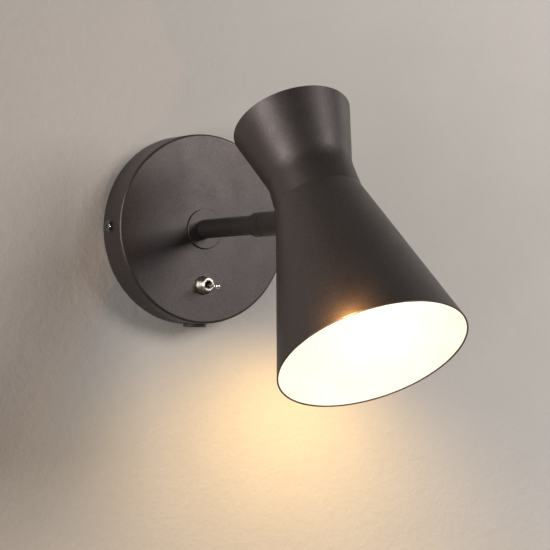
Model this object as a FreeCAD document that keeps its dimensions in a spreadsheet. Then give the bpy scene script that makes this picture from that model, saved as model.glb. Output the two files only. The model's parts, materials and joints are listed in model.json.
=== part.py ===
"""Pivoting spotlight wall light, at real size in millimetres.

The origin is the centre of the canopy's back, on the wall. +Z is up, and the arm reaches out along -Y.
The shade's own pieces are drawn about the shade's axis, with their origin where the threaded stud
crosses it, and are then tilted into place.
"""

import FreeCAD, Part
import math
import os
import Sketcher

SIZES = {
    # canopy, the round drum on the wall
    "canopy_radius": 60.0,
    "canopy_depth": 22.5,
    "canopy_wall": 1.2,
    "canopy_edge_round": 1.6,
    # wall bracket
    "bracket_gauge": 1.5,
    "bracket_bend": 1.5,
    "bracket_half_height": 11.0,
    "bracket_corner": 4.0,
    "tab_reach": 13.0,
    "tab_clearance": 0.15,
    "wall_slot_spacing": 64.0,
    "wall_slot_length": 12.0,
    "wall_slot_width": 5.0,
    "cable_hole_radius": 6.5,
    "lug_half_width": 19.5,
    "lug_top": 45.0,
    "earth_tab_half_width": 7.0,
    "earth_tab_reach": 13.0,
    # side screws and their rings
    "side_screw_setback": 8.5,
    "side_screw_radius": 2.0,
    "side_screw_length": 7.5,
    "side_head_radius": 3.2,
    "side_head_height": 1.6,
    "side_head_round": 0.6,
    "cross_half_length": 1.8,
    "cross_half_width": 0.4,
    "cross_depth": 1.0,
    "side_ring_radius": 3.9,
    "side_ring_thickness": 0.5,
    # mains terminal block
    "pole_pitch": 9.0,
    "pole_width": 7.0,
    "pole_height": 14.0,
    "pole_depth": 12.0,
    "block_floor": 3.0,
    "block_ear": 5.5,
    "block_centre": 34.0,
    "clamp_spacing": 7.5,
    "clamp_well_radius": 1.9,
    "clamp_well_depth": 6.0,
    "clamp_screw_radius": 1.75,
    "clamp_screw_height": 3.0,
    "wire_entry_radius": 1.5,
    "fixing_screw_radius": 1.5,
    "fixing_head_radius": 2.6,
    "fixing_head_height": 1.8,
    "screw_slot_width": 0.7,
    "screw_slot_depth": 0.8,
    # earth terminal
    "earth_screw_setback": 7.5,
    "earth_screw_radius": 2.0,
    "earth_screw_length": 7.0,
    "earth_head_radius": 3.6,
    "earth_head_height": 2.4,
    "earth_washer_radius": 4.4,
    "earth_washer_thickness": 0.8,
    # cable grommet in the bottom of the canopy
    "grommet_setback": 11.3,
    "grommet_hole_radius": 5.5,
    "grommet_bore_radius": 3.0,
    "grommet_flange_radius": 7.25,
    "grommet_lip_radius": 6.6,
    "grommet_stand_out": 2.0,
    "grommet_lip": 1.5,
    "grommet_edge_round": 0.6,
    # arm
    "nipple_radius": 5.0,
    "nipple_bore_radius": 3.4,
    "hole_clearance": 0.15,
    "thread_clearance": 0.05,
    "flange_radius": 12.75,
    "flange_thickness": 1.2,
    "flange_edge_round": 0.45,
    "tube_radius": 6.0,
    "tube_length": 62.3,
    "nipple_grip": 9.0,
    "nut_flats": 14.0,
    "nut_height": 3.0,
    "nut_stand_out": 1.5,
    "lock_washer_radius": 8.6,
    "lock_washer_thickness": 0.8,
    "lock_washer_notch": 1.2,
    "lock_washer_notches": 12,
    # toggle switch
    "toggle_drop": 35.4,
    "bushing_radius": 3.0,
    "bushing_bore_radius": 1.9,
    "bushing_reach": 4.0,
    "dress_nut_base_radius": 6.2,
    "dress_nut_base_height": 1.0,
    "dress_nut_front_radius": 4.0,
    "dress_nut_mouth_radius": 2.75,
    "dress_nut_height": 6.0,
    "dress_nut_edge_round": 0.55,
    "dress_nut_shoulder_round": 3.0,
    "inner_nut_flats": 8.0,
    "inner_nut_height": 1.5,
    "switch_plate": 0.8,
    "case_width": 8.0,
    "case_height": 13.0,
    "case_depth": 8.5,
    "case_well_radius": 2.4,
    "case_well_depth": 3.0,
    "lug_width": 2.0,
    "lug_gauge": 0.8,
    "lug_length": 4.0,
    "lug_spacing": 4.7,
    "lever_tilt": 4.0,
    "lever_pivot_depth": 1.0,
    "lever_ball_radius": 1.85,
    "lever_root_radius": 1.0,
    "lever_neck_radius": 0.7,
    "lever_bead_radius": 1.15,
    "lever_bead_reach": 13.0,
    "lever_tip_radius": 1.6,
    "lever_tip_reach": 16.4,
    "lever_tail_radius": 0.7,
    "lever_tail_length": 4.5,
    # knuckle: fixed socket, swivelling fork
    "knuckle_radius": 7.5,
    "knuckle_edge_round": 0.7,
    "socket_length": 11.0,
    "socket_web": 3.5,
    "socket_grip": 5.0,
    "stem_radius": 4.0,
    "stem_bore_radius": 2.2,
    "running_clearance": 0.05,
    "face_clearance": 0.05,
    "retaining_ring_thickness": 0.8,
    "retaining_ring_radius": 4.85,
    "retaining_groove_depth": 0.6,
    "retaining_ring_gap": 3.0,
    "stem_end_margin": 0.8,
    "swivel_washer_thickness": 0.4,
    "swivel_washer_inset": 0.2,
    "stop_screw_radius": 1.25,
    "stop_dog_radius": 0.7,
    "stop_screw_inset": 0.4,
    "stop_groove_depth": 0.7,
    "stop_groove_angle": 346.0,
    "fork_length": 20.0,
    "slot_floor_clearance": 0.25,
    "pivot_screw_radius": 2.0,
    "pivot_head_radius": 3.4,
    "pivot_head_height": 1.8,
    "pivot_head_seat": 4.6,
    "pivot_screw_end": 6.0,
    "pivot_blind_wall": 1.2,
    "pivot_washer_radius": 6.0,
    "pivot_washer_thickness": 0.5,
    # tongue that carries the shade
    "tongue_half_thickness": 1.95,
    "tongue_half_height": 5.0,
    "eye_radius": 6.8,
    "collar_clearance": 0.4,
    "collar_radius": 7.0,
    "collar_thickness": 1.8,
    "collar_edge_round": 0.4,
    "stud_bore_radius": 2.8,
    "stud_bore_run": 2.0,
    "pivot_to_axis": 37.42,
    # shade, a spun double cone
    "shade_tilt": 32.67,
    "shade_wall": 1.0,
    "cup_radius": 35.9,
    "cup_length": 38.9,
    "neck_top_radius": 25.5,
    "neck_bottom_radius": 26.3,
    "neck_length": 19.0,
    "stud_height": 12.0,
    "cone_length": 104.5,
    "mouth_radius": 55.7,
    "cup_round": 30.0,
    "cone_round": 8.0,
    "lid_recess": 3.5,
    "lid_thickness": 1.0,
    "lid_skirt": 5.0,
    "lid_bend": 1.2,
    "lid_clearance": 0.05,
    "vent_radius": 2.0,
    "vent_circle_radius": 24.0,
    "vent_count": 8,
    # lampholder and its bracket
    "holder_bracket_half_width": 8.0,
    "holder_bracket_drop": 9.0,
    "holder_bracket_level": 26.0,
    "holder_bracket_past": 9.0,
    "holder_corner": 6.0,
    "holder_radius": 14.25,
    "holder_wall": 1.3,
    "holder_cap_top_radius": 8.0,
    "holder_cap_height": 14.0,
    "holder_cap_rim": 4.0,
    "holder_cap_grip": 8.0,
    "holder_sleeve_length": 34.0,
    "holder_spigot": 3.5,
    "insert_height": 7.5,
    "shell_bore_radius": 7.1,
    "shell_wall": 0.5,
    "shell_length": 19.0,
    "contact_radius": 2.5,
    "contact_height": 2.5,
    # golf-ball lamp
    "bulb_cap_radius": 6.9,
    "bulb_cap_tip_radius": 2.2,
    "bulb_cap_taper": 2.5,
    "bulb_cap_length": 17.0,
    "bulb_base_length": 26.0,
    "bulb_base_waist_radius": 8.5,
    "bulb_base_waist": 4.0,
    "globe_radius": 22.5,
    "globe_seat_radius": 18.0,
    "bulb_base_rim": 0.6,
}


class Size:
    """A number with the sheet expression that gives it, so that sums of sizes stay bound to the sheet."""

    def __init__(self, number, text):
        self.number = number
        self.text = text

    def __neg__(self):
        return Size(-self.number, f"(0 - {self.text})")

    def __add__(self, other):
        return joined(self, "+", other, self.number + plain(other))

    def __radd__(self, other):
        return joined(other, "+", self, plain(other) + self.number)

    def __sub__(self, other):
        return joined(self, "-", other, self.number - plain(other))

    def __rsub__(self, other):
        return joined(other, "-", self, plain(other) - self.number)

    def __mul__(self, other):
        return joined(self, "*", other, self.number * plain(other))

    def __rmul__(self, other):
        return joined(other, "*", self, plain(other) * self.number)

    def __truediv__(self, other):
        return joined(self, "/", other, self.number / plain(other))


def plain(size):
    """Gives the number of a size or of a plain number."""
    return size.number if isinstance(size, Size) else float(size)


def phrase(size):
    """Gives the expression of a size or of a plain number."""
    return size.text if isinstance(size, Size) else f"({float(size)!r})"


def joined(left, sign, right, number):
    """Joins two sizes in one expression."""
    return Size(number, f"({phrase(left)} {sign} {phrase(right)})")


def root(size):
    """Square root of a size."""
    return Size(math.sqrt(size.number), f"sqrt({size.text})")


def cosine(angle):
    """Cosine of a size in degrees."""
    return Size(math.cos(math.radians(angle.number)), f"cos({angle.text})")


def sine(angle):
    """Sine of a size in degrees."""
    return Size(math.sin(math.radians(angle.number)), f"sin({angle.text})")


doc = FreeCAD.newDocument("wall_light")
NODES = []


class Sheet:
    """The driving dimensions, one named attribute each."""

    def __init__(self):
        table = doc.addObject("Spreadsheet::Sheet", "sizes")
        for row, (name, number) in enumerate(SIZES.items(), start=1):
            table.set(f"A{row}", name)
            table.set(f"B{row}", str(number))
            table.setAlias(f"B{row}", name)
            setattr(self, name, Size(float(number), f"sizes.{name}"))
        doc.recompute()


s = Sheet()

# Places along the arm, counted outwards from the wall.
canopy_face = s.canopy_depth - s.canopy_wall
arm_root = s.canopy_depth + s.flange_thickness
tube_end = arm_root + s.tube_length
socket_end = tube_end + s.socket_length
fork_face = socket_end + s.swivel_washer_thickness + s.face_clearance
pivot_reach = fork_face + s.fork_length

# Fits along the arm.
nipple_hole = s.nipple_radius + s.hole_clearance
nipple_thread = s.nipple_radius + s.thread_clearance
stem_hole = s.stem_radius + s.running_clearance
pivot_hole = s.pivot_screw_radius + s.running_clearance
web_rear = socket_end - s.socket_web
web_middle = socket_end - s.socket_web / 2
slot_half = s.tongue_half_thickness + s.pivot_washer_thickness + 2 * s.face_clearance
stem_groove_radius = s.stem_radius - s.retaining_groove_depth

# Places on the shade, with heights counted up the shade's axis from the stud.
neck_bottom = -s.stud_height
neck_top = neck_bottom + s.neck_length
cup_top = neck_top + s.cup_length
mouth = neck_bottom - s.cone_length
cup_slope = (s.cup_radius - s.neck_top_radius) / s.cup_length
collar_near = s.pivot_to_axis - s.knuckle_radius - s.collar_clearance
collar_far = collar_near - s.collar_thickness
strip_face = root(
    (s.neck_top_radius - s.shade_wall) * (s.neck_top_radius - s.shade_wall)
    - s.holder_bracket_half_width * s.holder_bracket_half_width
) - s.tab_clearance
strip_back = strip_face - s.bracket_gauge
stud_nut_face = strip_back - s.lock_washer_thickness
stud_end = stud_nut_face - s.nut_height - s.nut_stand_out / 2

# Heights of the lampholder and the lamp on the shade's axis.
holder_top = s.holder_bracket_level
cap_rim = holder_top - s.holder_cap_height
insert_top = cap_rim - s.face_clearance
insert_bottom = insert_top - s.insert_height
contact_bottom = insert_bottom - s.contact_height
cap_bottom = contact_bottom - s.bulb_cap_length
base_bottom = cap_bottom - s.bulb_base_length


# ---------------------------------------------------------------- drawing

def bind(thing, path, size):
    """Ties a property to the sheet."""
    thing.setExpression(path, phrase(size))


def place(thing, x=0.0, y=0.0, z=0.0, axis=None, angle=None):
    """Puts a piece at a point, turned about an axis by an angle that is a size."""
    if angle is not None:
        turn = FreeCAD.Rotation(FreeCAD.Vector(*axis), plain(angle))
        thing.Placement = FreeCAD.Placement(FreeCAD.Vector(), turn)
        bind(thing, "Placement.Rotation.Angle", angle)
    for path, size in (("x", x), ("y", y), ("z", z)):
        if isinstance(size, Size):
            bind(thing, f"Placement.Base.{path}", size)


def place_on_head(thing):
    """Tilts a piece drawn about the shade's axis into the shade's place."""
    tilt = s.shade_tilt
    out = -(pivot_reach + s.pivot_to_axis * cosine(tilt))
    up = s.pivot_to_axis * sine(tilt)
    place(thing, 0.0, out, up, (-1, 0, 0), tilt)


def hold(sketch, kind, geometry, point, size):
    """Holds one point of a sketch at a distance from the sketch's origin."""
    rule = Sketcher.Constraint(kind, -1, 1, geometry, point, plain(size))
    index = sketch.addConstraint(rule)
    if isinstance(size, Size):
        bind(sketch, f"Constraints[{index}]", size)


def hold_radius(sketch, geometry, size):
    """Holds the radius of a circle or an arc."""
    index = sketch.addConstraint(Sketcher.Constraint("Radius", geometry, plain(size)))
    bind(sketch, f"Constraints[{index}]", size)


def polygon(corners):
    """Gives a function that draws a closed outline through corners."""
    def draw(sketch):
        first = sketch.GeometryCount
        count = len(corners)
        points = [FreeCAD.Vector(plain(x), plain(y), 0) for x, y in corners]
        for i in range(count):
            sketch.addGeometry(Part.LineSegment(points[i], points[(i + 1) % count]), False)
        for i in range(count):
            after = first + (i + 1) % count
            sketch.addConstraint(Sketcher.Constraint("Coincident", first + i, 2, after, 1))
        for i, (x, y) in enumerate(corners):
            hold(sketch, "DistanceX", first + i, 1, x)
            hold(sketch, "DistanceY", first + i, 1, y)
    return draw


def rectangle(left, right, bottom, top):
    """Gives a function that draws an upright rectangle."""
    return polygon([(left, bottom), (right, bottom), (right, top), (left, top)])


def circle(x, y, radius):
    """Gives a function that draws a circle."""
    def draw(sketch):
        centre = FreeCAD.Vector(plain(x), plain(y), 0)
        index = sketch.addGeometry(Part.Circle(centre, FreeCAD.Vector(0, 0, 1), plain(radius)), False)
        hold(sketch, "DistanceX", index, 3, x)
        hold(sketch, "DistanceY", index, 3, y)
        hold_radius(sketch, index, radius)
    return draw


def arc(centre, radius, start, end):
    """Makes an arc between two angles in degrees, counted from the sketch's horizontal."""
    ring = Part.Circle(centre, FreeCAD.Vector(0, 0, 1), radius)
    return Part.ArcOfCircle(ring, math.radians(start), math.radians(end))


def long_hole(x, y, length, width):
    """Gives a function that draws a slot that lies along the sketch's horizontal."""
    def draw(sketch):
        half = (length - width) / 2
        radius = width / 2
        first = sketch.GeometryCount
        right = FreeCAD.Vector(plain(x + half), plain(y), 0)
        left = FreeCAD.Vector(plain(x - half), plain(y), 0)
        rise = FreeCAD.Vector(0, plain(radius), 0)
        sketch.addGeometry(arc(right, plain(radius), -90, 90), False)
        sketch.addGeometry(Part.LineSegment(right + rise, left + rise), False)
        sketch.addGeometry(arc(left, plain(radius), 90, 270), False)
        sketch.addGeometry(Part.LineSegment(left - rise, right - rise), False)
        for i in range(4):
            sketch.addConstraint(Sketcher.Constraint("Tangent", first + i, 2, first + (i + 1) % 4, 1))
        sketch.addConstraint(Sketcher.Constraint("Equal", first, first + 2))
        hold(sketch, "DistanceX", first, 3, x + half)
        hold(sketch, "DistanceY", first, 3, y)
        hold(sketch, "DistanceX", first + 2, 3, x - half)
        hold(sketch, "DistanceY", first + 2, 3, y)
        hold_radius(sketch, first, radius)
    return draw


def new_body(label):
    """Starts a piece."""
    body = doc.addObject("PartDesign::Body", label)
    body.Label = label
    return body


def sketch_on(body, name, plane, shapes, offset=None):
    """Draws shapes on one of a body's own planes, which an offset moves along the plane's normal."""
    sketch = body.newObject("Sketcher::SketchObject", name)
    face = next(item for item in body.Origin.OriginFeatures if item.Role == plane)
    sketch.AttachmentSupport = [(face, "")]
    sketch.MapMode = "FlatFace"
    if offset is not None:
        bind(sketch, "AttachmentOffset.Base.z", offset)
    for draw in shapes:
        draw(sketch)
    return sketch


def turned(body, name, plane, axis, corners):
    """Adds a revolved solid to a body."""
    feature = body.newObject("PartDesign::Revolution", name)
    sketch = sketch_on(body, f"{name}_profile", plane, [polygon(corners)])
    feature.Profile = sketch
    feature.ReferenceAxis = (sketch, [axis])
    feature.Angle = 360
    body.Tip = feature
    doc.recompute()
    return feature


def turned_on_x(body, name, corners):
    """Adds a solid turned about X, from corners given as place along X and radius."""
    return turned(body, name, "XZ_Plane", "H_Axis", corners)


def turned_on_y(body, name, corners):
    """Adds a solid turned about Y, from corners given as distance towards -Y and radius."""
    return turned(body, name, "YZ_Plane", "H_Axis", [(-out, radius) for out, radius in corners])


def turned_on_z(body, name, corners):
    """Adds a solid turned about Z, from corners given as radius and height."""
    return turned(body, name, "XZ_Plane", "V_Axis", corners)


def pad(body, name, plane, shapes, length, side="One side", offset=None):
    """Adds an extruded solid to a body."""
    feature = body.newObject("PartDesign::Pad", name)
    feature.Profile = sketch_on(body, f"{name}_profile", plane, shapes, offset)
    feature.SideType = side
    bind(feature, "Length", length)
    body.Tip = feature
    doc.recompute()
    return feature


def volume(body):
    """Gives a body's volume."""
    return body.Shape.Volume


def pocket(body, name, plane, shapes, depth=None, side="Symmetric", offset=None, forward=False):
    """Cuts a body through, or to a depth, and makes sure that something was cut."""
    before = volume(body)
    feature = body.newObject("PartDesign::Pocket", name)
    feature.Profile = sketch_on(body, f"{name}_profile", plane, shapes, offset)
    feature.SideType = side
    feature.Reversed = forward
    if depth is None:
        feature.Type = "ThroughAll"
    else:
        bind(feature, "Length", depth)
    body.Tip = feature
    doc.recompute()
    if volume(body) > before - 1e-6:
        raise RuntimeError(f"{name} cut nothing from {body.Label}")
    return feature


def rounded(body, name, radius, chosen):
    """Rounds the edges of a body that a test chooses."""
    base = body.Tip
    edges = [f"Edge{i}" for i, edge in enumerate(base.Shape.Edges, start=1) if chosen(edge)]
    if not edges:
        raise RuntimeError(f"{name} found no edge on {body.Label}")
    feature = body.newObject("PartDesign::Fillet", name)
    feature.Base = (base, edges)
    bind(feature, "Radius", radius)
    body.Tip = feature
    doc.recompute()
    if "Invalid" in feature.State:
        raise RuntimeError(f"{name} failed on {body.Label}")
    return feature


def near(value, size):
    """Says whether a measured number is a size."""
    return abs(value - plain(size)) < 1e-4


def ring_edge(axis, along, radius):
    """Chooses the circle of a radius round an axis at a place along it."""
    def chosen(edge):
        curve = edge.Curve
        if not isinstance(curve, Part.Circle):
            return False
        return near(curve.Radius, radius) and near(getattr(curve.Center, axis), along)
    return chosen


def corner_edge(**places):
    """Chooses straight edges that run along one line at the given coordinates, on either side of zero."""
    def chosen(edge):
        if not isinstance(edge.Curve, Part.Line):
            return False
        start, end = [vertex.Point for vertex in edge.Vertexes]
        for axis, size in places.items():
            if not near(getattr(end, axis), getattr(start, axis)):
                return False
            if not near(abs(getattr(start, axis)), abs(plain(size))):
                return False
        return True
    return chosen


def hexagon(flats):
    """Gives a function that draws a hexagon round the origin with two corners on the horizontal."""
    corner = flats / math.sqrt(3)
    half = corner / 2
    side = flats / 2
    return polygon([(corner, 0), (half, side), (-half, side), (-corner, 0), (-half, -side), (half, -side)])


def hex_nut(label, flats, hole, start, height):
    """Makes a hex nut on the Y axis, from a distance towards -Y and outwards."""
    body = new_body(label)
    pad(body, "hexagon", "XZ_Plane", [hexagon(flats)], height, offset=start)
    pocket(body, "thread", "XZ_Plane", [circle(0, 0, hole)])
    return body


def flat_ring(label, start, thickness, hole, radius):
    """Makes a plain washer on the Y axis, from a distance towards -Y and outwards."""
    body = new_body(label)
    turned_on_y(body, "ring", ring_corners(start, thickness, hole, radius))
    return body


def ring_corners(start, thickness, hole, radius):
    """Lists the corners of a ring's section."""
    end = start + thickness
    return [(start, hole), (end, hole), (end, radius), (start, radius)]


def toothed_ring(label, start, thickness, hole, radius):
    """Makes a lock washer on the Y axis with notches round its rim."""
    body = flat_ring(label, start, thickness, hole, radius)
    half = s.lock_washer_notch / 2
    notch = pocket(body, "notch", "XZ_Plane", [rectangle(-half, half, radius - 2 * half, radius + half)])
    pattern = body.newObject("PartDesign::PolarPattern", "notches")
    pattern.Originals = [notch]
    pattern.Axis = (notch.Profile[0], ["N_Axis"])
    pattern.Angle = 360
    bind(pattern, "Occurrences", s.lock_washer_notches)
    body.Tip = pattern
    doc.recompute()
    return body


def group(label, members):
    """Joins separate solids in one node."""
    compound = doc.addObject("Part::Compound", label)
    compound.Label = label
    compound.Links = members
    return compound


def mirrored_in_x(thing):
    """Gives the mirror image of a piece on the other side of the plane x = 0."""
    image = doc.addObject("Part::Mirroring", f"{thing.Name}_image")
    image.Source = thing
    image.Normal = FreeCAD.Vector(1, 0, 0)
    return image


def cut(label, base, tool):
    """Cuts one shape from another."""
    result = doc.addObject("Part::Cut", label)
    result.Label = label
    result.Base = base
    result.Tool = tool
    doc.recompute()
    return result


def keep(thing):
    """Marks a finished piece as a node of its own."""
    NODES.append(thing)


# ---------------------------------------------------------------- wall plate and canopy

def wall_bracket():
    """Bent strap that the wall screws hold, with tabs for the canopy, the terminal block and the earth."""
    body = new_body("wall_bracket")
    inside = s.canopy_radius - s.canopy_wall
    outer = root(inside * inside - s.bracket_half_height * s.bracket_half_height) - s.tab_clearance
    inner = outer - s.bracket_gauge
    strap = [
        (-outer, 0), (outer, 0), (outer, -s.tab_reach), (inner, -s.tab_reach), (inner, -s.bracket_gauge),
        (-inner, -s.bracket_gauge), (-inner, -s.tab_reach), (-outer, -s.tab_reach),
    ]
    pad(body, "strap", "XY_Plane", [polygon(strap)], 2 * s.bracket_half_height, "Symmetric")
    rounded(body, "inner_bends", s.bracket_bend, corner_edge(x=inner, y=s.bracket_gauge))
    rounded(body, "outer_bends", s.bracket_bend + s.bracket_gauge, corner_edge(x=outer, y=0))
    rounded(body, "tab_corners", s.bracket_corner, corner_edge(y=s.tab_reach, z=s.bracket_half_height))
    lug = rectangle(-s.lug_half_width, s.lug_half_width, 0, s.lug_top)
    pad(body, "lug", "XZ_Plane", [lug], s.bracket_gauge)
    rounded(body, "lug_corners", s.bracket_corner, corner_edge(x=s.lug_half_width, z=s.lug_top))
    half = s.earth_tab_half_width
    earth_tab = rectangle(-half, half, -s.earth_tab_reach, 0)
    pad(body, "earth_tab", "XY_Plane", [earth_tab], s.bracket_gauge, offset=-s.bracket_half_height)
    rounded(body, "earth_corners", s.bracket_corner, corner_edge(x=half, y=s.earth_tab_reach))
    reach = s.wall_slot_spacing / 2
    slots = [long_hole(side * reach, 0, s.wall_slot_length, s.wall_slot_width) for side in (-1, 1)]
    pocket(body, "wall_slots", "XZ_Plane", slots)
    pocket(body, "cable_hole", "XZ_Plane", [circle(0, 0, s.cable_hole_radius)])
    tapped = s.fixing_screw_radius + s.thread_clearance
    fixings = [circle(side * ear_place(), s.block_centre, tapped) for side in (-1, 1)]
    pocket(body, "block_holes", "XZ_Plane", fixings)
    tapped = s.side_screw_radius + s.thread_clearance
    pocket(body, "tab_holes", "YZ_Plane", [circle(-s.side_screw_setback, 0, tapped)])
    tapped = s.earth_screw_radius + s.thread_clearance
    pocket(body, "earth_hole", "XY_Plane", [circle(0, -s.earth_screw_setback, tapped)], side="One side")
    keep(body)


def canopy():
    """Spun drum with a closed front, open towards the wall."""
    body = new_body("canopy")
    inside = s.canopy_radius - s.canopy_wall
    turned_on_y(body, "drum", [
        (0, s.canopy_radius), (s.canopy_depth, s.canopy_radius), (s.canopy_depth, 0),
        (canopy_face, 0), (canopy_face, inside), (0, inside),
    ])
    rounded(body, "front_edge", s.canopy_edge_round, ring_edge("y", -s.canopy_depth, s.canopy_radius))
    inner_round = s.canopy_edge_round / 2
    rounded(body, "inner_edge", inner_round, ring_edge("y", -canopy_face, inside))
    pocket(body, "arm_hole", "XZ_Plane", [circle(0, 0, nipple_hole)])
    bushing_hole = s.bushing_radius + s.hole_clearance
    pocket(body, "toggle_hole", "XZ_Plane", [circle(0, -s.toggle_drop, bushing_hole)])
    screw_hole = s.side_screw_radius + s.hole_clearance
    pocket(body, "side_holes", "YZ_Plane", [circle(-s.side_screw_setback, 0, screw_hole)])
    grommet_hole = circle(0, -s.grommet_setback, s.grommet_hole_radius)
    pocket(body, "grommet_hole", "XY_Plane", [grommet_hole], side="One side")
    keep(body)
    return body


def side_screws():
    """Two cross-head screws that hold the canopy to the bracket's tabs, with a ring under each head."""
    screw = new_body("side_screw")
    seat = s.canopy_radius + s.side_ring_thickness
    top = seat + s.side_head_height
    tip = seat - s.side_screw_length
    turned_on_x(screw, "turned", [
        (tip, 0), (tip, s.side_screw_radius), (seat, s.side_screw_radius),
        (seat, s.side_head_radius), (top, s.side_head_radius), (top, 0),
    ])
    rounded(screw, "head_edge", s.side_head_round, ring_edge("x", top, s.side_head_radius))
    long = s.cross_half_length
    wide = s.cross_half_width
    cross = polygon([
        (long, -wide), (long, wide), (wide, wide), (wide, long), (-wide, long), (-wide, wide),
        (-long, wide), (-long, -wide), (-wide, -wide), (-wide, -long), (wide, -long), (wide, -wide),
    ])
    pocket(screw, "cross", "YZ_Plane", [cross], s.cross_depth, "One side", offset=top)
    place(screw, y=-s.side_screw_setback)
    keep(group("side_screws", [screw, mirrored_in_x(screw)]))
    ring = new_body("side_ring")
    hole = s.side_screw_radius + s.hole_clearance
    section = ring_corners(s.canopy_radius, s.side_ring_thickness, hole, s.side_ring_radius)
    turned_on_x(ring, "turned", section)
    place(ring, y=-s.side_screw_setback)
    keep(group("side_rings", [ring, mirrored_in_x(ring)]))


def cable_grommet(drum):
    """Round bush in the bottom of the canopy, shaped to the drum inside and out."""
    blank = new_body("grommet_blank")
    bottom = -(s.canopy_radius + s.grommet_stand_out)
    inside = -(s.canopy_radius - s.canopy_wall)
    top = inside + s.grommet_lip
    turned_on_z(blank, "bush", [
        (s.grommet_bore_radius, bottom), (s.grommet_flange_radius, bottom),
        (s.grommet_flange_radius, inside), (s.grommet_lip_radius, inside),
        (s.grommet_lip_radius, top), (s.grommet_bore_radius, top),
    ])
    rounded(blank, "rim", s.grommet_edge_round, ring_edge("z", bottom, s.grommet_flange_radius))
    place(blank, y=-s.grommet_setback)
    keep(cut("cable_grommet", blank, drum))


# ---------------------------------------------------------------- mains terminal and earth

def ear_place():
    """Distance of the block's fixing holes from its middle."""
    return s.pole_pitch + s.pole_width / 2 + s.block_ear / 2


def terminal_block():
    """Three-pole block with two screw wells and a wire passage in each pole, and an ear at each end."""
    body = new_body("terminal_block")
    half_width = s.pole_pitch + s.pole_width / 2
    end = half_width + s.block_ear
    low = s.block_centre - s.pole_height / 2
    high = s.block_centre + s.pole_height / 2
    floor = s.bracket_gauge
    pad(body, "floor", "XZ_Plane", [rectangle(-end, end, low, high)], s.block_floor, offset=floor)
    columns = [side * s.pole_pitch for side in (-1, 0, 1)]
    half_pole = s.pole_width / 2
    poles = [rectangle(column - half_pole, column + half_pole, low, high) for column in columns]
    pad(body, "poles", "XZ_Plane", poles, s.pole_depth, offset=floor)
    reach = s.clamp_spacing / 2
    wells = [
        circle(column, s.block_centre + side * reach, s.clamp_well_radius)
        for column in columns for side in (-1, 1)
    ]
    front = floor + s.pole_depth
    pocket(body, "wells", "XZ_Plane", wells, s.clamp_well_depth, "One side", offset=front)
    middle = floor + s.pole_depth - s.clamp_well_depth
    passages = [circle(column, -middle, s.wire_entry_radius) for column in columns]
    pocket(body, "wire_passages", "XY_Plane", passages)
    fixing_hole = s.fixing_screw_radius + s.hole_clearance
    ears = [circle(side * ear_place(), s.block_centre, fixing_hole) for side in (-1, 1)]
    pocket(body, "ear_holes", "XZ_Plane", ears)
    keep(body)
    clamps = []
    for column in columns:
        for side in (-1, 1):
            head = front - s.clamp_well_depth / 2
            height = s.block_centre + side * reach
            tail = s.clamp_screw_height
            clamps.append(slotted_screw("clamp", column, height, head, s.clamp_screw_radius, tail))
    keep(group("terminal_screws", clamps))
    top = floor + s.block_floor + s.fixing_head_height
    fixings = []
    for side in (-1, 1):
        x = side * ear_place()
        fixings.append(headed_screw("block_screw", x, s.block_centre, top))
    keep(group("terminal_fixings", fixings))


def slotted_screw(name, x, z, head, radius, length):
    """Makes a headless slotted screw along Y whose front is at a distance from the wall."""
    body = new_body(name)
    turned_on_y(body, "turned", [(head - length, 0), (head - length, radius), (head, radius), (head, 0)])
    half = s.screw_slot_width / 2
    slot = rectangle(-2 * radius, 2 * radius, -half, half)
    pocket(body, "slot", "XZ_Plane", [slot], s.screw_slot_depth, "One side", offset=head)
    place(body, x=x, z=z)
    return body


def headed_screw(name, x, z, top):
    """Makes a slotted fixing screw along Y that holds the block to the bracket."""
    body = new_body(name)
    seat = top - s.fixing_head_height
    tip = s.bracket_gauge / 4
    turned_on_y(body, "turned", [
        (tip, 0), (tip, s.fixing_screw_radius), (seat, s.fixing_screw_radius),
        (seat, s.fixing_head_radius), (top, s.fixing_head_radius), (top, 0),
    ])
    half = s.screw_slot_width / 2
    slot = rectangle(-2 * s.fixing_head_radius, 2 * s.fixing_head_radius, -half, half)
    pocket(body, "slot", "XZ_Plane", [slot], s.screw_slot_depth, "One side", offset=top)
    place(body, x=x, z=z)
    return body


def earth_terminal():
    """Earth screw through the bracket's lower tab, with its washer."""
    seat = -(s.bracket_half_height + s.earth_washer_thickness)
    washer = new_body("earth_washer")
    hole = s.earth_screw_radius + s.hole_clearance
    turned_on_z(washer, "ring", [
        (hole, seat), (s.earth_washer_radius, seat),
        (s.earth_washer_radius, -s.bracket_half_height), (hole, -s.bracket_half_height),
    ])
    place(washer, y=-s.earth_screw_setback)
    keep(washer)
    screw = new_body("earth_screw")
    head = seat - s.earth_head_height
    tip = seat + s.earth_screw_length
    turned_on_z(screw, "turned", [
        (0, head), (s.earth_head_radius, head), (s.earth_head_radius, seat),
        (s.earth_screw_radius, seat), (s.earth_screw_radius, tip), (0, tip),
    ])
    half = s.screw_slot_width / 2
    slot = rectangle(-2 * s.earth_head_radius, 2 * s.earth_head_radius, -half, half)
    pocket(screw, "slot", "XY_Plane", [slot], s.screw_slot_depth, "One side", offset=head, forward=True)
    place(screw, y=-s.earth_screw_setback)
    keep(screw)


# ---------------------------------------------------------------- arm

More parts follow.
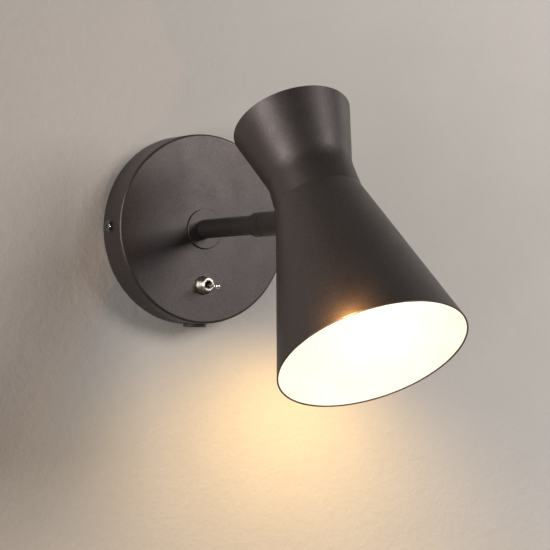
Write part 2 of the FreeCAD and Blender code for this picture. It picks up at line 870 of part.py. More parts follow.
def arm():
    """Tube, foot disc and the threaded rod, washer and nut that clamp them to the canopy."""
    flange = flat_ring("arm_flange", s.canopy_depth, s.flange_thickness, nipple_hole, s.flange_radius)
    rounded(flange, "edge", s.flange_edge_round, ring_edge("y", -arm_root, s.flange_radius))
    keep(flange)
    keep(flat_ring("arm_tube", arm_root, s.tube_length, nipple_thread, s.tube_radius))
    gauge = s.lock_washer_thickness
    washer_start = canopy_face - gauge
    keep(toothed_ring("arm_lock_washer", washer_start, gauge, nipple_hole, s.lock_washer_radius))
    nut_start = washer_start - s.nut_height
    keep(hex_nut("arm_nut", s.nut_flats, nipple_thread, nut_start, s.nut_height))
    rear = nut_start - s.nut_stand_out
    length = arm_root + s.nipple_grip - rear
    keep(flat_ring("rear_nipple", rear, length, s.nipple_bore_radius, s.nipple_radius))
    front = tube_end - s.nipple_grip
    length = s.nipple_grip + s.socket_grip
    keep(flat_ring("front_nipple", front, length, s.nipple_bore_radius, s.nipple_radius))


# ---------------------------------------------------------------- toggle switch

def toggle_switch():
    """Switch frame with its threaded bushing, case, lugs, nuts and ball-tipped lever."""
    down = -s.toggle_drop
    plate_front = canopy_face - s.inner_nut_height
    plate_back = plate_front - s.switch_plate
    bushing_front = s.canopy_depth + s.bushing_reach
    half_width = s.case_width / 2
    half_height = s.case_height / 2
    outline = rectangle(-half_width, half_width, -half_height, half_height)
    frame = new_body("toggle_frame")
    pad(frame, "plate", "XZ_Plane", [outline], s.switch_plate, offset=plate_back)
    turned_on_y(frame, "bushing", [
        (plate_back, 0), (plate_back, s.bushing_radius),
        (bushing_front, s.bushing_radius), (bushing_front, 0),
    ])
    pocket(frame, "bore", "XZ_Plane", [circle(0, 0, s.bushing_bore_radius)])
    place(frame, z=down)
    keep(frame)
    case = new_body("toggle_case")
    case_back = plate_back - s.case_depth
    pad(case, "box", "XZ_Plane", [outline], s.case_depth, offset=case_back)
    well = circle(0, 0, s.case_well_radius)
    pocket(case, "well", "XZ_Plane", [well], s.case_well_depth, "One side", offset=plate_back)
    place(case, z=down)
    keep(case)
    lugs = new_body("toggle_lug")
    half_lug = s.lug_width / 2
    half_gauge = s.lug_gauge / 2
    rise = s.lug_spacing / 2
    lug_back = case_back - s.lug_length
    blade = rectangle(-half_lug, half_lug, rise - half_gauge, rise + half_gauge)
    pad(lugs, "blade", "XZ_Plane", [blade], s.lug_length, offset=lug_back)
    place(lugs, z=down)
    lower = new_body("toggle_lug_lower")
    blade = rectangle(-half_lug, half_lug, -rise - half_gauge, half_gauge - rise)
    pad(lower, "blade", "XZ_Plane", [blade], s.lug_length, offset=lug_back)
    place(lower, z=down)
    keep(group("toggle_lugs", [lugs, lower]))
    hole = s.bushing_radius + s.thread_clearance
    inner_nut = hex_nut("toggle_inner_nut", s.inner_nut_flats, hole, plate_front, s.inner_nut_height)
    place(inner_nut, z=down)
    keep(inner_nut)
    dress_nut(bushing_front, down)
    lever(down)


def dress_nut(bushing_front, down):
    """Bullet-shaped nut that narrows to a round lip in front of the bushing."""
    nut = new_body("toggle_dress_nut")
    base = s.canopy_depth
    shoulder = base + s.dress_nut_base_height
    front = base + s.dress_nut_height
    step = bushing_front + s.face_clearance
    hole = s.bushing_radius + s.thread_clearance
    turned_on_y(nut, "turned", [
        (base, hole), (base, s.dress_nut_base_radius), (shoulder, s.dress_nut_base_radius),
        (front, s.dress_nut_front_radius), (front, s.dress_nut_mouth_radius),
        (step, s.dress_nut_mouth_radius), (step, hole),
    ])
    lip = ring_edge("y", -front, s.dress_nut_front_radius)
    rounded(nut, "lip", s.dress_nut_edge_round, lip)
    edge = ring_edge("y", -shoulder, s.dress_nut_base_radius)
    rounded(nut, "shoulder", s.dress_nut_shoulder_round, edge)
    place(nut, z=down)
    keep(nut)


def lever(down):
    """Lever that rocks on a ball in the bushing, with a bead and a larger ball at its tip."""
    tail = s.lever_tail_length
    pieces = [
        ball("lever_ball", s.lever_ball_radius, 0),
        ball("lever_bead", s.lever_bead_radius, s.lever_bead_reach),
        ball("lever_tip", s.lever_tip_radius, s.lever_tip_reach),
        spike("lever_shaft", 0, s.lever_tip_reach, s.lever_root_radius, s.lever_neck_radius),
        spike("lever_tail", -tail, tail, s.lever_tail_radius, s.lever_root_radius),
    ]
    whole = doc.addObject("Part::MultiFuse", "toggle_lever")
    whole.Label = "toggle_lever"
    whole.Shapes = pieces
    place(whole, 0.0, -(s.canopy_depth + s.lever_pivot_depth), down, (1, 0, 0), s.lever_tilt)
    keep(whole)


def ball(name, radius, out):
    """Makes a ball at a distance towards -Y."""
    sphere = doc.addObject("Part::Sphere", name)
    bind(sphere, "Radius", radius)
    place(sphere, y=-out if isinstance(out, Size) else 0.0)
    return sphere


def spike(name, start, length, near_radius, far_radius):
    """Makes a tapered rod towards -Y from a distance."""
    cone = doc.addObject("Part::Cone", name)
    bind(cone, "Radius1", near_radius)
    bind(cone, "Radius2", far_radius)
    bind(cone, "Height", length)
    cone.Placement = FreeCAD.Placement(FreeCAD.Vector(), FreeCAD.Rotation(FreeCAD.Vector(1, 0, 0), 90))
    if isinstance(start, Size):
        bind(cone, "Placement.Base.y", -start)
    return cone


# ---------------------------------------------------------------- knuckle

def knuckle_socket():
    """Fixed half of the knuckle: threaded onto the arm's rod, with a web that the fork's stem turns in."""
    body = new_body("knuckle_socket")
    turned_on_y(body, "turned", [
        (tube_end, nipple_thread), (tube_end, s.knuckle_radius), (socket_end, s.knuckle_radius),
        (socket_end, stem_hole), (web_rear, stem_hole), (web_rear, nipple_thread),
    ])
    rounded(body, "rear_edge", s.knuckle_edge_round, ring_edge("y", -tube_end, s.knuckle_radius))
    tapped = s.stop_screw_radius + s.thread_clearance
    stop_hole = circle(-web_middle, 0, tapped)
    pocket(body, "stop_hole", "YZ_Plane", [stop_hole], side="One side", forward=True)
    keep(body)
    washer_radius = s.knuckle_radius - s.swivel_washer_inset
    keep(flat_ring("swivel_washer", socket_end, s.swivel_washer_thickness, stem_hole, washer_radius))
    screw = new_body("swivel_stop_screw")
    dog_end = s.stem_radius - s.stop_groove_depth + s.running_clearance
    shoulder = s.stem_radius + s.stop_screw_inset
    outer_end = s.knuckle_radius - s.stop_screw_inset
    turned_on_x(screw, "turned", [
        (dog_end, 0), (dog_end, s.stop_dog_radius), (shoulder, s.stop_dog_radius),
        (shoulder, s.stop_screw_radius), (outer_end, s.stop_screw_radius), (outer_end, 0),
    ])
    place(screw, y=-web_middle)
    keep(screw)


def knuckle_fork():
    """Swivelling half of the knuckle: a grooved stem behind, a slotted and rounded nose in front."""
    body = new_body("knuckle_fork")
    ring_front = web_rear - s.face_clearance
    ring_back = ring_front - s.retaining_ring_thickness
    stem_end = ring_back - s.stem_end_margin
    nose = pivot_reach + s.knuckle_radius
    turned_on_y(body, "turned", [
        (stem_end, s.stem_bore_radius), (stem_end, s.stem_radius),
        (ring_back - s.face_clearance, s.stem_radius), (ring_back - s.face_clearance, stem_groove_radius),
        (ring_front + s.face_clearance, stem_groove_radius), (ring_front + s.face_clearance, s.stem_radius),
        (fork_face, s.stem_radius), (fork_face, s.knuckle_radius),
        (nose, s.knuckle_radius), (nose, s.stem_bore_radius),
    ])
    stop_groove(body)
    floor = pivot_reach - s.knuckle_radius - s.slot_floor_clearance
    pocket(body, "slot", "XY_Plane", [rectangle(-slot_half, slot_half, -2 * nose, -floor)])
    pocket(body, "nose", "YZ_Plane", [nose_waste(nose)])
    hole = circle(-pivot_reach, 0, pivot_hole)
    blind = s.pivot_blind_wall - s.knuckle_radius
    pocket(body, "pivot_hole", "YZ_Plane", [hole], side="One side", offset=blind, forward=True)
    recess = circle(-pivot_reach, 0, s.pivot_head_radius + s.hole_clearance)
    seat = s.pivot_head_seat
    pocket(body, "head_recess", "YZ_Plane", [recess], side="One side", offset=seat, forward=True)
    keep(body)
    ring = flat_ring(
        "retaining_ring", ring_back, s.retaining_ring_thickness,
        stem_groove_radius + s.running_clearance, s.retaining_ring_radius,
    )
    half_gap = s.retaining_ring_gap / 2
    gap = rectangle(-half_gap, half_gap, 0, 2 * s.retaining_ring_radius)
    pocket(ring, "gap", "XZ_Plane", [gap])
    keep(ring)


def stop_groove(body):
    """Cuts the part-turn groove in the stem that the stop screw's dog runs in."""
    before = volume(body)
    groove = body.newObject("PartDesign::Groove", "stop_groove")
    half = s.stop_dog_radius + s.running_clearance
    inner = s.stem_radius - s.stop_groove_depth
    outer = s.stem_radius + s.stop_groove_depth
    section = rectangle(inner, outer, -(web_middle + half), -(web_middle - half))
    sketch = sketch_on(body, "stop_groove_profile", "XY_Plane", [section])
    groove.Profile = sketch
    groove.ReferenceAxis = (sketch, ["V_Axis"])
    groove.Midplane = True
    bind(groove, "Angle", s.stop_groove_angle)
    body.Tip = groove
    doc.recompute()
    if volume(body) > before - 1e-6:
        raise RuntimeError("stop_groove cut nothing")


def nose_waste(nose):
    """Gives a function that draws what is milled off outside the fork's round nose."""
    def draw(sketch):
        radius = s.knuckle_radius
        beyond = 2 * radius
        first = sketch.GeometryCount
        centre = FreeCAD.Vector(plain(-pivot_reach), 0, 0)
        top = FreeCAD.Vector(plain(-pivot_reach), plain(radius), 0)
        bottom = FreeCAD.Vector(plain(-pivot_reach), -plain(radius), 0)
        far = -(nose + radius)
        corners = [(-pivot_reach, -beyond), (far, -beyond), (far, beyond), (-pivot_reach, beyond)]
        points = [FreeCAD.Vector(plain(x), plain(y), 0) for x, y in corners]
        sketch.addGeometry(arc(centre, plain(radius), 90, 270), False)
        chain = [bottom] + points + [top]
        for start, end in zip(chain, chain[1:]):
            sketch.addGeometry(Part.LineSegment(start, end), False)
        for i in range(6):
            sketch.addConstraint(Sketcher.Constraint("Coincident", first + i, 2, first + (i + 1) % 6, 1))
        hold(sketch, "DistanceX", first, 3, -pivot_reach)
        hold(sketch, "DistanceY", first, 3, 0)
        hold(sketch, "DistanceX", first, 1, -pivot_reach)
        hold(sketch, "DistanceX", first, 2, -pivot_reach)
        hold_radius(sketch, first, radius)
        for i, (x, y) in enumerate(corners):
            hold(sketch, "DistanceX", first + 1 + i, 2, x)
            hold(sketch, "DistanceY", first + 1 + i, 2, y)
    return draw


def pivot():
    """Tilt axle, screwed into the blind cheek, with a friction washer each side of the tongue."""
    screw = new_body("pivot_screw")
    tip = -s.pivot_screw_end
    seat = s.pivot_head_seat
    head = seat + s.pivot_head_height
    turned_on_x(screw, "turned", [
        (tip, 0), (tip, s.pivot_screw_radius), (seat, s.pivot_screw_radius),
        (seat, s.pivot_head_radius), (head, s.pivot_head_radius), (head, 0),
    ])
    half = s.screw_slot_width / 2
    slot = rectangle(-half, half, -2 * s.pivot_head_radius, 2 * s.pivot_head_radius)
    pocket(screw, "slot", "YZ_Plane", [slot], s.screw_slot_depth, "One side", offset=head)
    place(screw, y=-pivot_reach)
    keep(screw)
    washer = new_body("pivot_washer")
    start = s.tongue_half_thickness + s.face_clearance
    section = ring_corners(start, s.pivot_washer_thickness, pivot_hole, s.pivot_washer_radius)
    turned_on_x(washer, "turned", section)
    place(washer, y=-pivot_reach)
    keep(group("pivot_washers", [washer, mirrored_in_x(washer)]))


# ---------------------------------------------------------------- head

def knuckle_tongue():
    """Eye on the pivot, collar against the neck and hollow threaded stud through it, in one piece."""
    body = new_body("knuckle_tongue")
    eye_centre = s.pivot_to_axis
    thickness = 2 * s.tongue_half_thickness
    pad(body, "eye", "YZ_Plane", [circle(eye_centre, 0, s.eye_radius)], thickness, "Symmetric")
    half = s.tongue_half_height
    web = rectangle(collar_near, eye_centre, -half, half)
    pad(body, "web", "YZ_Plane", [web], thickness, "Symmetric")
    turned_on_y(body, "collar", [
        (-collar_near, 0), (-collar_near, s.collar_radius), (-collar_far, s.collar_radius),
        (-collar_far, s.nipple_radius), (-stud_end, s.nipple_radius), (-stud_end, 0),
    ])
    rounded(body, "collar_edge", s.collar_edge_round, ring_edge("y", collar_near, s.collar_radius))
    run = collar_near - stud_end + s.stud_bore_run
    bore = circle(0, 0, s.stud_bore_radius)
    pocket(body, "bore", "XZ_Plane", [bore], run, "One side", offset=-stud_end)
    pocket(body, "pivot_hole", "YZ_Plane", [circle(eye_centre, 0, pivot_hole)])
    place_on_head(body)
    keep(body)


def shade_form(label, inset):
    """Makes the solid double cone whose wall is moved inwards by an inset."""
    body = new_body(label)
    turned_on_z(body, "double_cone", [
        (0, mouth), (s.mouth_radius - inset, mouth), (s.neck_bottom_radius - inset, neck_bottom),
        (s.neck_top_radius - inset, neck_top), (s.cup_radius - inset, cup_top), (0, cup_top),
    ])
    cup = ring_edge("z", neck_top, s.neck_top_radius - inset)
    rounded(body, "cup_waist", s.cup_round + inset, cup)
    cone = ring_edge("z", neck_bottom, s.neck_bottom_radius - inset)
    rounded(body, "cone_waist", s.cone_round + inset, cone)
    return body


def shade():
    """Spun double cone, open at both ends, with the stud's hole in its neck, and its saddle washer."""
    form = shade_form("shade_form", Size(0.0, "0"))
    hollow = shade_form("shade_hollow", s.shade_wall)
    hole = doc.addObject("Part::Cylinder", "stud_hole")
    bind(hole, "Radius", nipple_hole)
    bind(hole, "Height", s.neck_bottom_radius * 2)
    hole.Placement = FreeCAD.Placement(FreeCAD.Vector(), FreeCAD.Rotation(FreeCAD.Vector(1, 0, 0), -90))
    waste = doc.addObject("Part::MultiFuse", "shade_waste")
    waste.Shapes = [hollow, hole]
    shell = cut("shade", form, waste)
    place_on_head(shell)
    keep(shell)
    blank = new_body("saddle_blank")
    start = s.neck_top_radius / 2
    turned_on_y(blank, "ring", [
        (-start, nipple_hole), (-collar_far, nipple_hole),
        (-collar_far, s.collar_radius), (-start, s.collar_radius),
    ])
    washer = cut("saddle_washer", blank, form)
    place_on_head(washer)
    keep(washer)


def top_cap():
    """Lid let into the upper cone, with a turned-down skirt and a ring of vents."""
    body = new_body("top_cap")
    top = cup_top - s.lid_recess
    under = top - s.lid_thickness
    skirt = top - s.lid_skirt
    gap = s.shade_wall + s.lid_clearance
    rim_top = s.cup_radius - gap - cup_slope * s.lid_recess
    rim_low = s.cup_radius - gap - cup_slope * (s.lid_recess + s.lid_skirt)
    rim_under = s.cup_radius - gap - cup_slope * (s.lid_recess + s.lid_thickness)
    turned_on_z(body, "lid", [
        (0, under), (rim_under - s.lid_thickness, under), (rim_low - s.lid_thickness, skirt),
        (rim_low, skirt), (rim_top, top), (0, top),
    ])
    rounded(body, "bend", s.lid_bend, ring_edge("z", top, rim_top))
    vent = pocket(body, "vent", "XY_Plane", [circle(s.vent_circle_radius, 0, s.vent_radius)])
    pattern = body.newObject("PartDesign::PolarPattern", "vents")
    pattern.Originals = [vent]
    pattern.Axis = (vent.Profile[0], ["N_Axis"])
    pattern.Angle = 360
    bind(pattern, "Occurrences", s.vent_count)
    body.Tip = pattern
    doc.recompute()
    place_on_head(body)
    keep(body)


def holder_bracket():
    """Strip clamped by the stud inside the neck and bent over the axis to carry the lampholder."""
    body = new_body("holder_bracket")
    top = s.holder_bracket_level + s.bracket_gauge
    under = s.holder_bracket_level
    low = -s.holder_bracket_drop
    past = -s.holder_bracket_past
    strip = [
        (strip_face, low), (strip_face, top), (past, top),
        (past, under), (strip_back, under), (strip_back, low),
    ]
    width = 2 * s.holder_bracket_half_width
    pad(body, "strip", "YZ_Plane", [polygon(strip)], width, "Symmetric")
    rounded(body, "inner_bend", s.bracket_bend, corner_edge(y=strip_back, z=under))
    rounded(body, "outer_bend", s.bracket_bend + s.bracket_gauge, corner_edge(y=strip_face, z=top))
    half = s.holder_bracket_half_width
    rounded(body, "leg_end", s.holder_corner, corner_edge(x=half, z=s.holder_bracket_drop))
    rounded(body, "arm_end", s.holder_corner, corner_edge(x=half, y=s.holder_bracket_past))
    pocket(body, "stud_hole", "XZ_Plane", [circle(0, 0, nipple_hole)])
    pocket(body, "holder_hole", "XY_Plane", [circle(0, 0, nipple_hole)])
    place_on_head(body)
    keep(body)
    washer = toothed_ring(
        "stud_washer", -strip_back, s.lock_washer_thickness, nipple_hole, s.lock_washer_radius,
    )
    place_on_head(washer)
    keep(washer)
    nut = hex_nut("stud_nut", s.nut_flats, nipple_thread, -stud_nut_face, s.nut_height)
    place_on_head(nut)
    keep(nut)


def ring_on_axis(label, low, high, hole, radius):
    """Makes a plain ring about the shade's axis."""
    body = new_body(label)
    turned_on_z(body, "ring", [(hole, low), (radius, low), (radius, high), (hole, high)])
    place_on_head(body)
    return body


def lampholder():
    """Lampholder in separate pieces: threaded rod and nut, cap, sleeve, insert, screw shell and contact."""
    strip_top = holder_top + s.bracket_gauge
    nut_low = strip_top + s.lock_washer_thickness
    nut_high = nut_low + s.nut_height
    nipple_low = holder_top - s.holder_cap_grip
    nipple_high = nut_high + s.nut_stand_out
    keep(ring_on_axis("holder_nipple", nipple_low, nipple_high, s.nipple_bore_radius, s.nipple_radius))
    keep(ring_on_axis("holder_lock_washer", strip_top, nut_low, nipple_hole, s.lock_washer_radius))
    nut = new_body("holder_nut")
    pad(nut, "hexagon", "XY_Plane", [hexagon(s.nut_flats)], s.nut_height, offset=nut_low)
    pocket(nut, "thread", "XY_Plane", [circle(0, 0, nipple_thread)])
    place_on_head(nut)
    keep(nut)
    inner = s.holder_radius - s.holder_wall
    spigot = cap_rim + s.holder_spigot
    cap = new_body("holder_cap")
    turned_on_z(cap, "turned", [
        (nipple_thread, holder_top), (nipple_thread, nipple_low), (inner, spigot + s.face_clearance),
        (inner, cap_rim), (s.holder_radius, cap_rim), (s.holder_radius, cap_rim + s.holder_cap_rim),
        (s.holder_cap_top_radius, holder_top),
    ])
    place_on_head(cap)
    keep(cap)
    sleeve = new_body("holder_sleeve")
    low = cap_rim - s.holder_sleeve_length
    spigot_outer = inner - s.thread_clearance
    spigot_inner = spigot_outer - s.holder_wall
    turned_on_z(sleeve, "turned", [
        (spigot_inner, spigot), (spigot_inner, cap_rim), (inner, cap_rim - s.holder_wall), (inner, low),
        (s.holder_radius, low), (s.holder_radius, cap_rim), (spigot_outer, cap_rim), (spigot_outer, spigot),
    ])
    place_on_head(sleeve)
    keep(sleeve)
    insert_radius = spigot_inner - s.hole_clearance
    keep(disc_on_axis("holder_insert", insert_bottom, insert_top, insert_radius))
    shell_outer = s.shell_bore_radius + s.shell_wall
    shell_low = insert_bottom - s.shell_length
    keep(ring_on_axis("holder_shell", shell_low, insert_bottom, s.shell_bore_radius, shell_outer))
    keep(disc_on_axis("holder_contact", contact_bottom, insert_bottom, s.contact_radius))


def disc_on_axis(label, low, high, radius):
    """Makes a plain disc about the shade's axis."""
    body = new_body(label)
    turned_on_z(body, "disc", [(0, low), (radius, low), (radius, high), (0, high)])
    place_on_head(body)
    return body


def bulb():
    """Golf-ball lamp: screw cap, flared base and globe."""
    cap = new_body("bulb_cap")
    taper_end = contact_bottom - s.bulb_cap_taper
    turned_on_z(cap, "turned", [
        (0, contact_bottom), (s.bulb_cap_tip_radius, contact_bottom), (s.bulb_cap_radius, taper_end),
        (s.bulb_cap_radius, cap_bottom), (0, cap_bottom),
    ])
    place_on_head(cap)
    keep(cap)
    base = new_body("bulb_base")
    waist = cap_bottom - s.bulb_base_waist
    rim = s.globe_seat_radius + s.bulb_base_rim
    turned_on_z(base, "turned", [
        (0, cap_bottom), (s.bulb_cap_radius, cap_bottom), (s.bulb_base_waist_radius, waist),
        (rim, base_bottom), (0, base_bottom),
    ])
    place_on_head(base)
    keep(base)
    globe = doc.addObject("Part::Sphere", "globe_ball")
    bind(globe, "Radius", s.globe_radius)
    seat_depth = root(s.globe_radius * s.globe_radius - s.globe_seat_radius * s.globe_seat_radius)
    place(globe, z=base_bottom - seat_depth)
    trimmed = cut("bulb_globe", globe, half_space(base_bottom))
    place_on_head(trimmed)
    keep(trimmed)


def half_space(level):
    """Makes a block that fills the space above a level near the shade's axis."""
    block = doc.addObject("Part::Box", "above_globe")
    for side in ("Length", "Width", "Height"):
        bind(block, side, 2 * s.globe_radius)
    place(block, -s.globe_radius, -s.globe_radius, level)
    return block


# ---------------------------------------------------------------- checks and files

def check():
    """Stops if any object failed or any piece is not a sound solid."""
    doc.recompute()
    for item in doc.Objects:
        if "Invalid" in item.State or "Error" in item.State:
            raise RuntimeError(f"{item.Label} failed")
    for node in NODES:
        shape = node.Shape
        if shape.isNull() or not shape.isValid() or not shape.Solids:
            raise RuntimeError(f"{node.Label} is not a sound solid")


def write():
    """Writes one file for each piece."""
    os.makedirs("parts", exist_ok=True)
    for node in NODES:
        node.Shape.exportStep(f"parts/{node.Label}.step")


def build():
    """Builds every piece, from the wall outwards."""
    wall_bracket()
    drum = canopy()
    side_screws()
    cable_grommet(drum)
    terminal_block()
    earth_terminal()
    arm()
    toggle_switch()
    knuckle_socket()
    knuckle_fork()
    pivot()
    knuckle_tongue()
    shade()
    top_cap()
    holder_bracket()
    lampholder()
    bulb()
    check()
    write()


build()
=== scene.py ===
import json
import math
import bpy
import bmesh
from mathutils import Matrix, Vector


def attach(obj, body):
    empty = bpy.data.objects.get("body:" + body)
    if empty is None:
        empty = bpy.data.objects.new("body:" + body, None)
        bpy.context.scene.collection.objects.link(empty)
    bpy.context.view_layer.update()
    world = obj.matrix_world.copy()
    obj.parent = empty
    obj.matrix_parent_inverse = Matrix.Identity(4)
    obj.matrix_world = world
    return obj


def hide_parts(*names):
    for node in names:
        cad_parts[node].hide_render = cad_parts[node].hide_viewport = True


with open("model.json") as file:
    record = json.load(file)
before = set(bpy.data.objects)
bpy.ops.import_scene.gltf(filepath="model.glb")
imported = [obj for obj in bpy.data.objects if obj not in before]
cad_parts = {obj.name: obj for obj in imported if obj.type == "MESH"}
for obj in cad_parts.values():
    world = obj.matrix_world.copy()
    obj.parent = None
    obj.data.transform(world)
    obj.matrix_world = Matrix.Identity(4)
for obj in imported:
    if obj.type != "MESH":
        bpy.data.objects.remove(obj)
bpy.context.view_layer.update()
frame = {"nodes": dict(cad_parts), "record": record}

NODES = frame["nodes"]
COLLECTION = bpy.context.scene.collection
MM = 0.001

# Places in millimetres. The head's own frame lies on the shade's axis, level with the stud, and its Z points
# up the axis.
TILT = math.radians(32.67)
HEAD_ORIGIN = Vector((0.0, -148.95, 20.20))
HEAD_X = Vector((1.0, 0.0, 0.0))
HEAD_Y = Vector((0.0, math.cos(TILT), -math.sin(TILT)))
HEAD_Z = Vector((0.0, math.sin(TILT), math.cos(TILT)))


def axes(x, y, z, origin):
    """Matrix from a local frame in millimetres to the row frame in metres."""
    m = Matrix.Identity(4)
    for column, vector in enumerate((x, y, z, origin)):
        for row in range(3):
            m[row][column] = vector[row] * MM
    return m


HEAD = axes(HEAD_X, HEAD_Y, HEAD_Z, HEAD_ORIGIN)


def add_object(name, data):
    """Links a new object with its data to the scene."""
    made = bpy.data.objects.new(name, data)
    COLLECTION.objects.link(made)
    return made


# ------------------------------------------------------------------ camera
CAMERA_PLACE = Vector((-0.6610, -1.1729, -0.0713))
CAMERA_FORWARD = Vector((0.5269, 0.8493, 0.0322))
CAMERA_RIGHT = Vector((0.8495, -0.5275, 0.0126))
SENSOR_WIDTH, LENS = 36.0, 137.54
NEAREST, FARTHEST = 0.05, 30.0


def add_camera():
    """Long lens from the left and a little below, as the photograph was taken."""
    data = bpy.data.cameras.new("camera")
    data.sensor_width = SENSOR_WIDTH
    data.lens = LENS
    data.clip_start = NEAREST
    data.clip_end = FARTHEST
    made = add_object("camera", data)
    forward = CAMERA_FORWARD.normalized()
    right = (CAMERA_RIGHT - forward * CAMERA_RIGHT.dot(forward)).normalized()
    turn = Matrix((right, right.cross(forward), -forward)).transposed()
    made.matrix_world = Matrix.Translation(CAMERA_PLACE) @ turn.to_4x4()
    return made


bpy.context.scene.camera = add_camera()


# ------------------------------------------------------------------ materials
# Most of a noise's values lie between these two.
NOISE_LOW, NOISE_HIGH = 0.3, 0.7
# Sockets of the colour mix node: its share, its two colours and its result.
SHARE, FIRST, SECOND, RESULT = 0, 6, 7, 2


class Shader:
    """A new material with its main shader, and short ways to add nodes."""

    def __init__(self, name, color, roughness, metallic=0.0, **sockets):
        self.material = bpy.data.materials.new(name)
        self.material.use_nodes = True
        self.tree = self.material.node_tree
        self.main = self.tree.nodes["Principled BSDF"]
        self.main.inputs["Base Color"].default_value = (*color, 1.0)
        self.main.inputs["Roughness"].default_value = roughness
        self.main.inputs["Metallic"].default_value = metallic
        for socket, value in sockets.items():
            self.main.inputs[socket.replace("_", " ")].default_value = value
        self.where = self.tree.nodes.new("ShaderNodeTexCoord").outputs["Object"]

    def node(self, kind, **settings):
        """Adds a node. A setting is the value of an input with that name, or else a property."""
        made = self.tree.nodes.new(kind)
        for key, value in settings.items():
            if key in made.inputs:
                made.inputs[key].default_value = value
            else:
                setattr(made, key, value)
        return made

    def link(self, start, end):
        """Joins an output to an input."""
        self.tree.links.new(start, end)

    def set(self, socket, output):
        """Drives a socket of the main shader."""
        self.link(output, self.main.inputs[socket])

    def noise(self, size, detail=2.0, rough=0.5, stretch=None):
        """Noise whose grain is about size millimetres."""
        made = self.node("ShaderNodeTexNoise", Scale=1.0 / (size * MM), Detail=detail, Roughness=rough)
        source = self.where
        if stretch:
            mapping = self.node("ShaderNodeMapping", Scale=stretch)
            self.link(source, mapping.inputs["Vector"])
            source = mapping.outputs["Vector"]
        self.link(source, made.inputs["Vector"])
        return made.outputs["Fac"]

    def spread(self, value, start, end, low=NOISE_LOW, high=NOISE_HIGH):
        """Maps a value from low..high to start..end."""
        made = self.node("ShaderNodeMapRange", clamp=True)
        for name, number in (("From Min", low), ("From Max", high), ("To Min", start), ("To Max", end)):
            made.inputs[name].default_value = number
        self.link(value, made.inputs["Value"])
        return made.outputs["Result"]

    def tones(self, value, first, second, low=NOISE_LOW, high=NOISE_HIGH):
        """Goes from one colour to another as a value goes from low to high."""
        made = self.node("ShaderNodeMix", data_type="RGBA")
        made.inputs[FIRST].default_value = (*first, 1.0)
        made.inputs[SECOND].default_value = (*second, 1.0)
        self.link(self.spread(value, 0.0, 1.0, low, high), made.inputs[SHARE])
        return made.outputs[RESULT]

    def multiplied(self, first, second):
        """Product of two colours."""
        made = self.node("ShaderNodeMix", data_type="RGBA", blend_type="MULTIPLY")
        made.inputs[SHARE].default_value = 1.0
        self.link(first, made.inputs[FIRST])
        self.link(second, made.inputs[SECOND])
        return made.outputs[RESULT]

    def bump(self, value, depth, strength, under=None):
        """Adds a bump of a depth in millimetres, over an earlier one."""
        made = self.node("ShaderNodeBump", Strength=strength, Distance=depth * MM)
        self.link(value, made.inputs["Height"])
        if under:
            self.link(under, made.inputs["Normal"])
        return made.outputs["Normal"]


# Black paint shines a little warm.
WARM_SHINE = (1.0, 0.86, 0.83, 1.0)


def powder_coat():
    """Warm charcoal powder coat with a fine grain, a mottled shine and slow unevenness."""
    m = Shader("powder_coat", (0.018, 0.015, 0.014), 0.48, Specular_IOR_Level=0.85, Specular_Tint=WARM_SHINE)
    grain = m.noise(0.9, 3.0, 0.65)
    mottle = m.noise(1.2, 3.0, 0.7)
    m.set("Base Color", m.tones(grain, (0.011, 0.009, 0.0084), (0.023, 0.019, 0.0176)))
    m.set("Roughness", m.spread(m.noise(14.0), 0.4, 0.48))
    m.set("Specular IOR Level", m.spread(mottle, 0.72, 1.02, 0.32, 0.68))
    m.set("Normal", m.bump(mottle, 0.07, 0.5, m.bump(grain, 0.07, 0.6)))
    return m.material


def satin_black(name, roughness, level):
    """Smoother black paint, which shines by its level: satin on the arm, nearly matt on the knuckle."""
    m = Shader(name, (0.018, 0.0155, 0.0145), roughness, Specular_IOR_Level=level, Specular_Tint=WARM_SHINE)
    grain = m.noise(0.4)
    m.set("Base Color", m.tones(grain, (0.014, 0.012, 0.011), (0.022, 0.019, 0.0175)))
    m.set("Roughness", m.spread(m.noise(5.0), roughness - 0.05, roughness + 0.05))
    m.set("Normal", m.bump(grain, 0.02, 0.4))
    return m.material


def inner_white():
    """Satin white paint inside the shade."""
    m = Shader("inner_white", (0.86, 0.84, 0.8), 0.42)
    m.set("Base Color", m.tones(m.noise(18.0), (0.84, 0.82, 0.78), (0.88, 0.86, 0.82)))
    m.set("Normal", m.bump(m.noise(0.6), 0.03, 0.3))
    return m.material


def plating(name, color, roughness):
    """Plating with faint turning marks and finger haze."""
    m = Shader(name, color, roughness, 1.0)
    m.set("Roughness", m.spread(m.noise(2.5, 3.0, 0.6), roughness * 0.7, roughness * 1.5, 0.25, 0.75))
    turned = m.noise(0.3, stretch=(1.0, 6.0, 1.0))
    m.set("Normal", m.bump(turned, 0.008, 0.25))
    return m.material


def zinc():
    """Zinc-plated sheet and nuts: a soft grey metal with cloudy spangle."""
    m = Shader("zinc", (0.62, 0.63, 0.64), 0.34, 1.0)
    cloud = m.noise(3.0, 3.0, 0.6)
    rolled = m.noise(0.25, stretch=(1.0, 1.0, 8.0))
    m.set("Base Color", m.tones(cloud, (0.52, 0.53, 0.55), (0.7, 0.71, 0.72)))
    m.set("Roughness", m.spread(cloud, 0.26, 0.44))
    m.set("Normal", m.bump(rolled, 0.015, 0.3))
    return m.material


def brass():
    """Bright brass with a slight tarnish."""
    m = Shader("brass", (0.76, 0.56, 0.27), 0.28, 1.0)
    cloud = m.noise(2.0, rough=0.6)
    m.set("Base Color", m.tones(cloud, (0.68, 0.49, 0.22), (0.82, 0.63, 0.33)))
    m.set("Roughness", m.spread(cloud, 0.2, 0.38))
    return m.material


